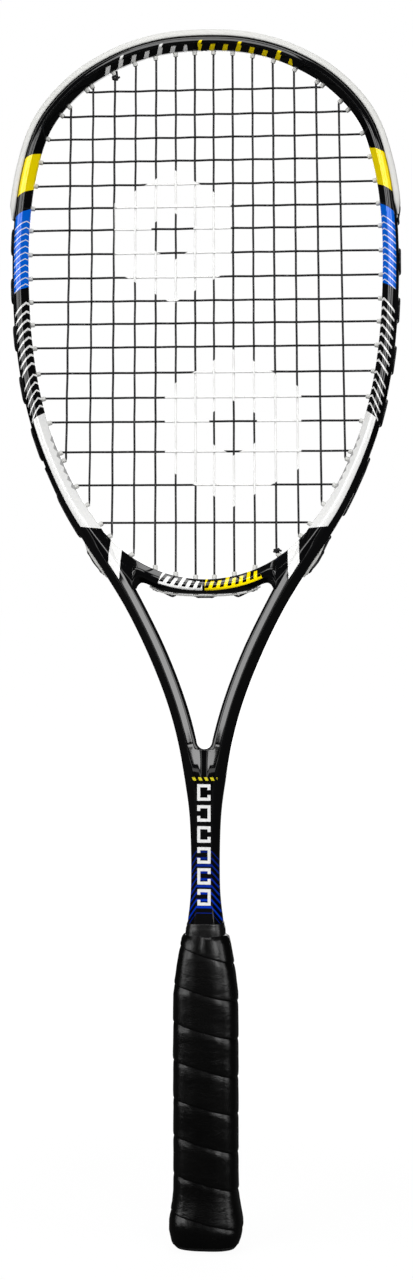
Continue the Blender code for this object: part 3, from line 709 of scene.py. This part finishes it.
def plain_finish(name, dark, light, grain, rough, metallic=0.0):
    """Finish of a part that the grip hides: mottled colour and a fine grain."""
    finish = Finish(name)
    colour = finish.mix(finish.noise(grain * 3), dark, light)
    roughness = finish.noise(grain, 4.0) * 0.2 + rough
    return finish.made(colour, roughness, finish.cells(grain), 0.08, Metallic=metallic)


# ---- frame and bridge ----

def build_frame():
    skin = Skin()
    ring_size = 3 * 2 * len(HOOP_PROFILE)
    inner_wall = ring_size // 2 - 1
    for side in (1, -1):
        rings, along, on_axis = [], [], []
        for station in refined(STATIONS):
            inner = inner_point(station)
            profile = frame_profile(station.outer.y)
            rings.append(section_ring(station.outer, inner, profile, side, station.width))
            along.append(station.along)
            on_axis.append(inner.x < 1e-4)
            if on_axis[-1]:
                flatten_inner_corners(rings[-1], inner_wall)
        skin.loft(rings, along, lambda ring, face: face == inner_wall and on_axis[ring] and on_axis[ring + 1],
                  capped=False)
    bmesh.ops.remove_doubles(skin.bm, verts=skin.bm.verts[:], dist=1e-6)
    open_edges = [edge for edge in skin.bm.edges if edge.is_boundary]
    bmesh.ops.holes_fill(skin.bm, edges=open_edges, sides=0)
    skin.finish("frame_shell", black_lacquer("frame_lacquer", frame_graphics), "black_lacquer", ["frame"])


def flatten_inner_corners(ring, inner_wall):
    """Put the rounded points of both inner corners on the corner itself, so that the halves meet."""
    for first in (inner_wall - 2, inner_wall + 1):
        corner = ring[first + 1].copy()
        corner.x = 0.0
        ring[first:first + 3] = [corner] * 3


def build_bridge():
    under = underside_curve()
    last_x, last_z = under[-1]
    under += [(lerp(last_x, BRIDGE_TIP_X, t), last_z + BRIDGE_TIP_RISE * t) for t in (0.33, 0.66, 1.0)]
    rings = []
    for side, (x, z) in both_halves(under):
        profile = blend_profiles(BRIDGE_PROFILE, BRIDGE_TIP_PROFILE, (x - BRIDGE_TAPER_X) / BRIDGE_TAPER)
        rings.append(section_ring(Vector((x, head_arc_z(x))), Vector((x, z)), profile, side))
    skin = Skin()
    skin.loft(rings)
    lacquer = black_lacquer("bridge_lacquer", bridge_graphics)
    skin.finish("bridge_shell", lacquer, "black_lacquer", ["throat_bridge"])


# ---- grommets ----

def strip_ring(outer, inward, profile, side, rounding):
    """Rounded ring of a strip's section, from distances outside the wall and half widths."""
    half = []
    for distance, width in profile:
        point = outer - inward * distance
        half.append(Vector((side * point.x, -width, point.y)))
    return rounded(half + [Vector((p.x, -p.y, p.z)) for p in reversed(half)], rounding)


def add_barrels(skin, ports, proud):
    """A round barrel through the frame at each port, with a rolled lip and an open bore."""
    for port in ports:
        start = port.exit + port.outward * proud
        axis = (port.tip - start).normalized()
        tangent = Vector((axis.y, -axis.x))
        length = (port.tip - start).length
        rings = []
        for place, radius in (
                (4.0, BARREL_BORE), (length - 0.15, BARREL_BORE), (length, BARREL_BORE + 0.14),
                (length - 0.05, BARREL_RADIUS - 0.22), (length - 0.35, BARREL_RADIUS),
                (length - 3.5, BARREL_RADIUS + 0.1), (0.0, BARREL_RADIUS + 0.2), (-0.25, BARREL_BORE + 0.4),
                (-0.2, BARREL_BORE), (1.0, BARREL_BORE)):
            ring = []
            for angle in full_turn(BARREL_SIDES):
                point = start + axis * place + tangent * (radius * math.cos(angle))
                ring.append((point.x, radius * math.sin(angle), point.y))
            rings.append(ring)
        rings.append(rings[0])
        skin.loft(rings, capped=False)


def outline_between(z_low, z_high, every=4):
    inside = [s for s in STATIONS if z_low < s.outer.y < z_high]
    return [inside[0], *inside[1:-1:every], inside[-1]]


def build_bumper(plastic):
    right = outline_between(BUMPER_END_Z, FRAME_OUTLINE[0][1] + 1.0, 2)
    end = right[-1].outer
    rings = []
    for side, station in both_halves(right):
        share = ((station.outer - end).length + 0.6) / BUMPER_TAPER
        profile = blend_profiles(BUMPER_END_PROFILE, BUMPER_PROFILE, share)
        rings.append(strip_ring(station.outer, station.inward, profile, side, 0.9))
    skin = Skin()
    skin.loft(rings)
    add_barrels(skin, both_sides(TOP_PORTS + GUARDED_CROSSES), GAP + BUMPER_FLOOR)
    skin.finish("head_guard", plastic, "light_grey_nylon", ["bumper_guard"])


def build_side_strips(plastic):
    lower_end = max(port.exit.y for port in SHOULDER_PORTS) + 3.5
    profile = ((-0.3, STRIP_HALF_WIDTH - 0.9), (SIDE_FLANGE, STRIP_HALF_WIDTH - 0.9))
    for side, name in ((-1, "left"), (1, "right")):
        skin = Skin()
        stations = outline_between(lower_end, BUMPER_END_Z - 3.0)
        skin.loft([strip_ring(s.outer, s.inward, profile, side, 0.2) for s in stations])
        add_barrels(skin, ports_on(side, SIDE_CROSSES + LOWER_PORTS), SIDE_FLANGE - 0.2)
        skin.finish(f"side_strip_{name}", plastic, "light_grey_nylon", [f"{name}_grommet_strip"])


def pad_height(z):
    """Height of the shoulder pad's back over the hoop's outer face."""
    low, high = (port.exit.y for port in SHOULDER_PORTS)
    share = (z - low + SHOULDER_RUN_OUT) / (high - low + 2 * SHOULDER_RUN_OUT)
    return SHOULDER_THICKNESS * math.sin(math.pi * share) ** 0.6 if 0.0 < share < 1.0 else 0.0


def build_shoulders(plastic):
    for side, name in ((-1, "left"), (1, "right")):
        rings = []
        for station in [s for s in STATIONS if pad_height(s.outer.y) > 0.0]:
            thickness = pad_height(station.outer.y)
            width = STRIP_HALF_WIDTH * (0.4 + 0.6 * thickness / SHOULDER_THICKNESS)
            profile = ((-0.4, width), (thickness * 0.6, width), (thickness, width * 0.7))
            rings.append(strip_ring(station.outer, station.inward, profile, side, 0.5))
        skin = Skin()
        skin.loft(rings)
        add_barrels(skin, ports_on(side, SHOULDER_PORTS), pad_height(SHOULDER_PORTS[0].exit.y))
        skin.finish(f"shoulder_pad_{name}", plastic, "light_grey_nylon", [f"{name}_shoulder_grommet"])


def build_bridge_strip(plastic):
    reach = BRIDGE_PORTS[-1].exit.x + 3.5
    half = [p for p in underside_curve() if p[0] < reach]
    profile = ((GAP, STRIP_HALF_WIDTH), (GAP + STRIP_THICKNESS, STRIP_HALF_WIDTH - 0.3))
    upward = Vector((0.0, 1.0))
    skin = Skin()
    skin.loft([strip_ring(Vector(point), upward, profile, side, 0.25) for side, point in both_halves(half)])
    add_barrels(skin, both_sides(BRIDGE_PORTS), GAP + STRIP_THICKNESS)
    skin.finish("bridge_strip", plastic, "light_grey_nylon", ["bridge_grommet_strip"])


# ---- string ----

# the mains from left to right, each with its top and its bottom port
MAIN_PORTS = [*zip(*(ports_on(-1, ports[::-1]) + ports for ports in (TOP_PORTS, BOTTOM_PORTS)))]
# the mains whose barrels hold the string's two ends
TOP_KNOT_MAIN, LOW_KNOT_MAIN = 2, 10


def main_x_at(index, z):
    top, bottom = MAIN_PORTS[index]
    t = (z - bottom.tip.y) / (top.tip.y - bottom.tip.y)
    return lerp(bottom.tip.x, top.tip.x, t), 0.0 < t < 1.0


def crosses_main(index, cross):
    """Whether this main and this cross meet inside the head."""
    x, inside = main_x_at(index, CROSS_HEIGHTS[cross])
    return inside and abs(x) < CROSS_PORTS[cross].tip.x - 1.5


def bend(points, samples=5):
    """Smooth curve through crossing points, with the sideways bend eased between them."""
    curve = [points[0]]
    for (x0, y0, z0), (x1, y1, z1) in zip(points, points[1:]):
        for step in range(1, samples + 1):
            t = step / samples
            curve.append((lerp(x0, x1, t), lerp(y0, y1, smoothstep(t)), lerp(z0, z1, t)))
    return curve


def main_run(index):
    """A main from its top tip to its bottom tip."""
    top, bottom = MAIN_PORTS[index]
    points = [top.inside()]
    for cross, z in enumerate(CROSS_HEIGHTS):
        if crosses_main(index, cross):
            points.append((main_x_at(index, z)[0], -WEAVE if (index + cross) % 2 else WEAVE, z))
    points.append(bottom.inside())
    return bend(points)


def cross_run(cross):
    """A cross from its left tip to its right tip."""
    port = CROSS_PORTS[cross]
    points = [port.mirror().inside()]
    for index in range(len(MAIN_PORTS)):
        if crosses_main(index, cross):
            x = main_x_at(index, port.tip.y)[0]
            points.append((x, WEAVE if (index + cross) % 2 else -WEAVE, port.tip.y))
    points.append(port.inside())
    return bend(points)


def outside_height(exit_point):
    """Height of a loop's middle over the frame's outer face."""
    if exit_point.y > BUMPER_END_Z:
        floor = GAP + BUMPER_FLOOR
    elif exit_point.y < BRIDGE_PORTS[-1].exit.y + 1.0:
        floor = GAP + STRIP_THICKNESS
    else:
        floor = SIDE_FLANGE + pad_height(exit_point.y)
    return floor + STRING_RADIUS - SEATING


def way_out(port, toward, side):
    """From inside a barrel to the outer face, leaning towards the loop's other exit."""
    rise = outside_height(port.exit)
    lean = 1.0 if toward.dot(Vector((port.outward.y, -port.outward.x))) > 0 else -1.0
    return [port.place(-2.0), port.place(rise * 0.45), port.place(rise, side * 0.55, 1.3 * lean),
            port.place(rise, side, 3.0 * lean)]


def outside_run(start, end, side):
    """The string's loop outside the frame from one exit to the next, as a rounded path."""
    toward = (end.exit - start.exit).normalized()
    way_in = way_out(end, -toward, side)[::-1]
    return catmull(way_out(start, toward, side) + outline_run(start, end, side) + way_in, 3)


def outline_run(start, end, side):
    """Where a long loop touches what is under it: the hoop all along, or only the top of a shoulder pad."""
    if start.exit.x * end.exit.x < 0 or abs(start.outward.x) < 1e-6:
        return []
    flip = 1.0 if start.exit.x > 0 else -1.0
    high, low = max(start.exit.y, end.exit.y), min(start.exit.y, end.exit.y)
    if high - low < 11.0:
        return []
    between = [s for s in STATIONS if low + 5.0 < s.outer.y < high - 5.0]
    if low < SHOULDER_PORTS[1].exit.y:
        touched = [max(between, key=lambda s: pad_height(s.outer.y))]
    else:
        touched = between[::5]
    points = []
    for station in touched:
        point = station.outer - station.inward * outside_height(station.outer)
        points.append((flip * point.x, side, point.y))
    return points if start.exit.y > end.exit.y else points[::-1]


def string_path():
    """The whole string: mains from left to right, then crosses from the top down."""
    count = len(MAIN_PORTS)
    path = outside_run(MAIN_PORTS[TOP_KNOT_MAIN][0], MAIN_PORTS[0][0], RUN_SIDE)
    for index in range(count):
        top, bottom = MAIN_PORTS[index]
        run = main_run(index)
        path += run if index % 2 == 0 else run[::-1]
        if index + 1 < count:
            ends = (bottom, MAIN_PORTS[index + 1][1]) if index % 2 == 0 else (top, MAIN_PORTS[index + 1][0])
            path += outside_run(*ends, RUN_SIDE)
    path += outside_run(MAIN_PORTS[count - 1][0], CROSS_PORTS[0], -RUN_SIDE)
    for cross in range(len(CROSS_PORTS)):
        run = cross_run(cross)
        rightwards = cross % 2 == 1
        path += run if rightwards else run[::-1]
        ends = ports_on(1 if rightwards else -1, CROSS_PORTS[cross:cross + 2])
        if len(ends) == 2:
            path += outside_run(*ends, -RUN_SIDE)
    path += outside_run(CROSS_PORTS[-1], MAIN_PORTS[LOW_KNOT_MAIN][1], -RUN_SIDE)
    return drop_repeats(path)


def drop_repeats(path, least=0.35):
    kept = [path[0]]
    for point in path[1:]:
        if (Vector(point) - Vector(kept[-1])).length > least:
            kept.append(point)
    return kept


def build_string(material):
    skin = Skin()
    skin.loft(string_rings(string_path()))
    skin.finish("string_bed", material, "charcoal_string", ["string"], merge=1e-7)


def build_knot(name, index, at_top, material):
    """Half hitches round a main at its barrel, with a short cut tail."""
    port = MAIN_PORTS[index][0 if at_top else 1]
    away = -1.0 if at_top else 1.0
    base = Vector((port.tip.x, 0.0, port.tip.y))
    path = [(0.9, 0.0, -2.4), (1.2, -0.5, 0.1)]
    for step in range(int(KNOT_TURNS * KNOT_STEPS)):
        angle = math.tau * step / KNOT_STEPS
        radius = 1.25 + 0.10 * math.sin(angle * 0.5)
        path.append((radius * math.cos(angle), -radius * math.sin(angle), 0.5 + 0.95 * step / KNOT_STEPS))
    path += [(1.6, -1.1, 1.9), (2.3, -1.5, 1.5), (3.0, -1.6, 1.3)]
    placed = [tuple(base + Vector((x, y, height * away))) for x, y, height in path]
    skin = Skin()
    skin.loft(string_rings(drop_repeats(catmull(placed, 3), 0.1)))
    skin.finish(name, material, "charcoal_string", merge=1e-7)


# ---- handle ----

SMOOTH_GRIP = catmull(GRIP_SHAPE, 6)


def superellipse_point(angle, z, half_width, half_depth):
    c, s = math.cos(angle), math.sin(angle)
    n = HANDLE_SQUARENESS
    r = (abs(c / half_width) ** n + abs(s / half_depth) ** n) ** (-1.0 / n)
    return (r * c, r * s, z)


def handle_point(angle, z, offset=0.0):
    """A point on the handle at a polar angle and a height, moved out by an offset."""
    half_width, half_depth = table_at(SMOOTH_GRIP, z)
    return superellipse_point(angle, z, half_width + offset, half_depth + offset)


def handle_rings(measures):
    """Rings from heights, half widths and half depths."""
    return [[superellipse_point(angle, *row) for angle in full_turn(HANDLE_SIDES)] for row in measures]


# the band's section: (distance above its lower edge, height over the handle's core)
BAND_SECTION = (
    (0.0, -0.5), (-0.05, 0.7), (0.1, 0.96), (0.4, 1.10), (1.2, 1.17), (4.0, 1.16), (10.0, 1.12),
    (15.0, 1.08), (17.4, 1.04), (18.6, 0.95), (19.6, 0.80), (20.6, 0.58), (21.6, 0.38), (23.0, 0.1),
    (24.3, -0.3), (24.4, -0.8),
)
# the underlay's surface: (height, distance outside the handle's measures)
UNDERLAY = (
    (GRIP_BOTTOM_Z, -0.9), (GRIP_BOTTOM_Z + 1.2, 0.1 - BAND_PROUD), (40.0, -BAND_PROUD), (140.0, -BAND_PROUD),
    (GRIP_TOP_Z - 1.0, 0.2 - BAND_PROUD), (GRIP_TOP_Z, -1.6),
)
UNDERLAY_RINGS = 60
MID_HANDLE_Z = 90.0


def band_climb(turns, angle):
    """Turns climbed by the band's edge, which crosses the handle's front and back nearly straight."""
    halves = math.floor(turns * 2)
    rightwards = handle_point(angle, MID_HANDLE_Z)[0] / table_at(SMOOTH_GRIP, MID_HANDLE_Z)[0]
    straight = 0.5 + rightwards * (0.5 if halves % 2 == 0 else -0.5)
    return 0.5 * (halves + lerp(turns * 2 - halves, straight, BAND_EVENNESS))


def build_grip(material):
    """One spiral band over a thin underlay, cut level at both ends of the handle."""
    full = BAND_PITCH + BAND_OVERLAP
    first = (GRIP_BOTTOM_Z - BAND_LEFT_EDGE_Z - full) / BAND_PITCH + 0.02
    last = (GRIP_TOP_Z - BAND_LEFT_EDGE_Z) / BAND_PITCH - 0.02
    steps = int((last - first) * BAND_STEPS_PER_TURN)
    rings = []
    for step in range(steps + 1):
        turns = lerp(first, last, step / steps)
        angle = math.pi - math.tau * turns
        c, s = math.cos(angle), math.sin(angle)
        waver = 0.0
        for size, scale in ((0.35, 1.7), (0.12, 6.0)):
            waver += size * noise.noise(Vector((c, s, turns * 0.9)) * scale)
        low = BAND_LEFT_EDGE_Z + BAND_PITCH * band_climb(turns, angle) + waver
        ring = []
        for distance, height in BAND_SECTION:
            z = min(max(low + distance, GRIP_BOTTOM_Z), GRIP_TOP_Z)
            rumple = 0.16 * noise.noise(Vector((c * 3.1, s * 3.1, z * 0.16)))
            rumple += 0.05 * noise.noise(Vector((c * 9.0, s * 9.0, z * 0.5)))
            ring.append(handle_point(angle, z, height - BAND_PROUD + (rumple if height > 0 else 0.0)))
        rings.append(ring)
    skin = Skin()
    skin.loft(rings)
    underlay = []
    for k in range(UNDERLAY_RINGS + 1):
        z = lerp(GRIP_BOTTOM_Z, GRIP_TOP_Z, k / UNDERLAY_RINGS)
        underlay.append([handle_point(angle, z, *table_at(UNDERLAY, z)) for angle in full_turn(HANDLE_SIDES)])
    skin.loft(underlay)
    skin.finish("grip_band", material, "black_grip", ["grip_wrap"], sharp=60.0)


def build_collar(material):
    """The finishing tape: two laps, with a step where the outer one ends."""
    skin = Skin()
    skin.loft(handle_rings((
        (175.6, 11.2, 10.6), (178.2, 11.2, 10.5), (180.4, 11.0, 10.3), (181.0, 10.9, 10.2),
        (181.2, 10.6, 10.0), (182.6, 10.5, 9.9), (183.4, 10.4, 9.8), (183.7, 10.2, 9.6), (183.5, 9.6, 9.0))))
    skin.finish("collar_tape", material, "finishing_tape", ["finishing_tape"])


def build_cap(material):
    """The butt cap: a rounded lip below the wrap and a shallow dish in the end."""
    skin = Skin()
    skin.loft(handle_rings((
        (18.0, 17.8, 15.2), (5.4, 18.2, 15.6), (5.0, 18.7, 16.0), (4.0, 18.5, 15.6), (2.6, 17.7, 14.2),
        (1.5, 16.8, 12.4), (0.6, 14.6, 9.8), (0.1, 12.2, 7.6), (0.0, 10.6, 6.4), (0.25, 10.2, 6.1),
        (0.7, 9.8, 5.8), (0.8, 5.0, 3.2))))
    skin.finish("butt_cap_shell", material, "cap_plastic", ["butt_cap"])


# ---- studio ----

FLOOR_REACH = 12.0
LIGHTS_AIM = Vector((0.0, 0.0, 0.42))
# (name, azimuth, elevation, distance, width, height, radiance); azimuth 0 is in front and grows to the right
SOFTBOXES = (
    ("left_strip", -24.0, 2.0, 2.0, 0.20, 1.6, 1.5), ("right_strip", 13.0, 2.0, 2.0, 0.16, 1.6, 1.6),
    ("left_panel", -38.0, 14.0, 2.0, 0.5, 1.1, 7.0), ("right_panel", 29.0, 14.0, 2.0, 0.6, 1.1, 8.0),
    ("left_box", -62.0, 8.0, 2.0, 0.9, 1.5, 3.8), ("right_box", 60.0, 8.0, 2.0, 0.9, 1.5, 3.8),
    ("overhead", -12.0, 60.0, 2.0, 1.4, 0.9, 4.2), ("back_panel", 180.0, 6.0, 2.2, 0.8, 1.5, 2.2),
    ("back_overhead", 180.0, 66.0, 2.0, 1.4, 1.0, 2.6),
)


def softbox(name, azimuth, elevation, distance, width, height, radiance):
    data = bpy.data.lights.new(name, 'AREA')
    data.shape = 'RECTANGLE'
    data.size, data.size_y = width, height
    data.energy = radiance * math.pi * width * height
    light = bpy.data.objects.new(name, data)
    a, e = math.radians(azimuth), math.radians(elevation)
    away = Vector((math.sin(a) * math.cos(e), -math.cos(a) * math.cos(e), math.sin(e)))
    light.location = LIGHTS_AIM + away * distance
    light.rotation_euler = away.to_track_quat('Z', 'Y').to_euler()
    light.visible_camera = False
    bpy.context.scene.collection.objects.link(light)


def build_floor():
    """A pale floor that glows a little less close to the racket; only the camera sees the glow."""
    floor = Finish("floor_finish")
    away = (floor.x * floor.x + floor.y * floor.y).apply('SQRT')
    glow = away.above(420.0, 500.0) * 0.04 + 0.96
    shade = floor.mix(floor.noise(400.0), (0.04, 0.04, 0.04), (0.05, 0.05, 0.05))
    floor.link(shade, floor.shader.inputs["Base Color"])
    floor.set(Roughness=0.9, Specular_IOR_Level=0.0, Emission_Color=(1.0, 1.0, 1.0, 1.0))
    seen_glow = glow * Field(floor.tree, floor.node("ShaderNodeLightPath").outputs["Is Camera Ray"])
    floor.link(seen_glow.socket, floor.shader.inputs["Emission Strength"])
    mesh = bpy.data.meshes.new("studio_floor")
    corners = [(x * FLOOR_REACH, y * FLOOR_REACH, -0.0005) for x, y in ((-1, -1), (1, -1), (1, 1), (-1, 1))]
    mesh.from_pydata(corners, [], [(0, 1, 2, 3)])
    mesh.materials.append(floor.material)
    obj = bpy.data.objects.new("studio_floor", mesh)
    bpy.context.scene.collection.objects.link(obj)


def build_world():
    """White behind everything for the camera, and nearly dark for the rest, so that black stays black."""
    world = bpy.data.worlds.new("studio")
    bpy.context.scene.world = world
    world.use_nodes = True
    nodes, links = world.node_tree.nodes, world.node_tree.links
    seen, fill = nodes["Background"], nodes.new("ShaderNodeBackground")
    for background, strength in ((seen, 1.0), (fill, 0.02)):
        background.inputs["Color"].default_value = (1.0, 1.0, 1.0, 1.0)
        background.inputs["Strength"].default_value = strength
    choose = nodes.new("ShaderNodeMixShader")
    links.new(nodes.new("ShaderNodeLightPath").outputs["Is Camera Ray"], choose.inputs[0])
    links.new(fill.outputs[0], choose.inputs[1])
    links.new(seen.outputs[0], choose.inputs[2])
    links.new(choose.outputs[0], nodes["World Output"].inputs["Surface"])


def build_camera():
    """The camera stands a little to the right of the racket's front and looks level."""
    azimuth, roll, distance, height = math.radians(5.6), math.radians(0.1), 1.28, 0.395
    view_height, view_middle = 0.7220, 0.3426
    data = bpy.data.cameras.new("camera")
    data.sensor_width = 36.0
    data.lens = data.sensor_width * distance / view_height
    data.shift_y = (view_middle - height) / view_height
    data.shift_x = 0.0012
    camera = bpy.data.objects.new("camera", data)
    camera.location = (math.sin(azimuth) * distance, -math.cos(azimuth) * distance, height)
    camera.rotation_euler = (math.radians(90.0), roll, azimuth)
    bpy.context.scene.collection.objects.link(camera)
    bpy.context.scene.camera = camera


# ---- everything ----

def main():
    light_nylon = nylon("light_nylon", (0.62, 0.62, 0.60))
    string_material = string_finish()
    build_frame()
    build_bridge()
    for build in (build_bumper, build_side_strips, build_shoulders, build_bridge_strip):
        build(light_nylon)
    build_string(string_material)
    build_knot("tie_off_top", TOP_KNOT_MAIN, True, string_material)
    build_knot("tie_off_bottom", LOW_KNOT_MAIN, False, string_material)
    build_grip(grip_finish())
    build_collar(tape_finish())
    build_cap(plain_finish("cap_finish", (0.012, 0.012, 0.013), (0.022, 0.022, 0.023), 0.6, 0.42))
    foam = plain_finish("pallet_finish", (0.26, 0.24, 0.21), (0.36, 0.33, 0.29), 1.2, 0.75)
    steel = plain_finish("staple_finish", (0.45, 0.45, 0.44), (0.62, 0.62, 0.60), 0.3, 0.25, 1.0)
    for node, material in (("handle_pallet", foam), ("left_cap_staple", steel), ("right_cap_staple", steel)):
        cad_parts[node].data.materials.clear()
        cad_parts[node].data.materials.append(material)
    build_floor()
    build_world()
    for row in SOFTBOXES:
        softbox(*row)
    build_camera()
    bpy.context.scene.view_settings.view_transform = 'Standard'


main()
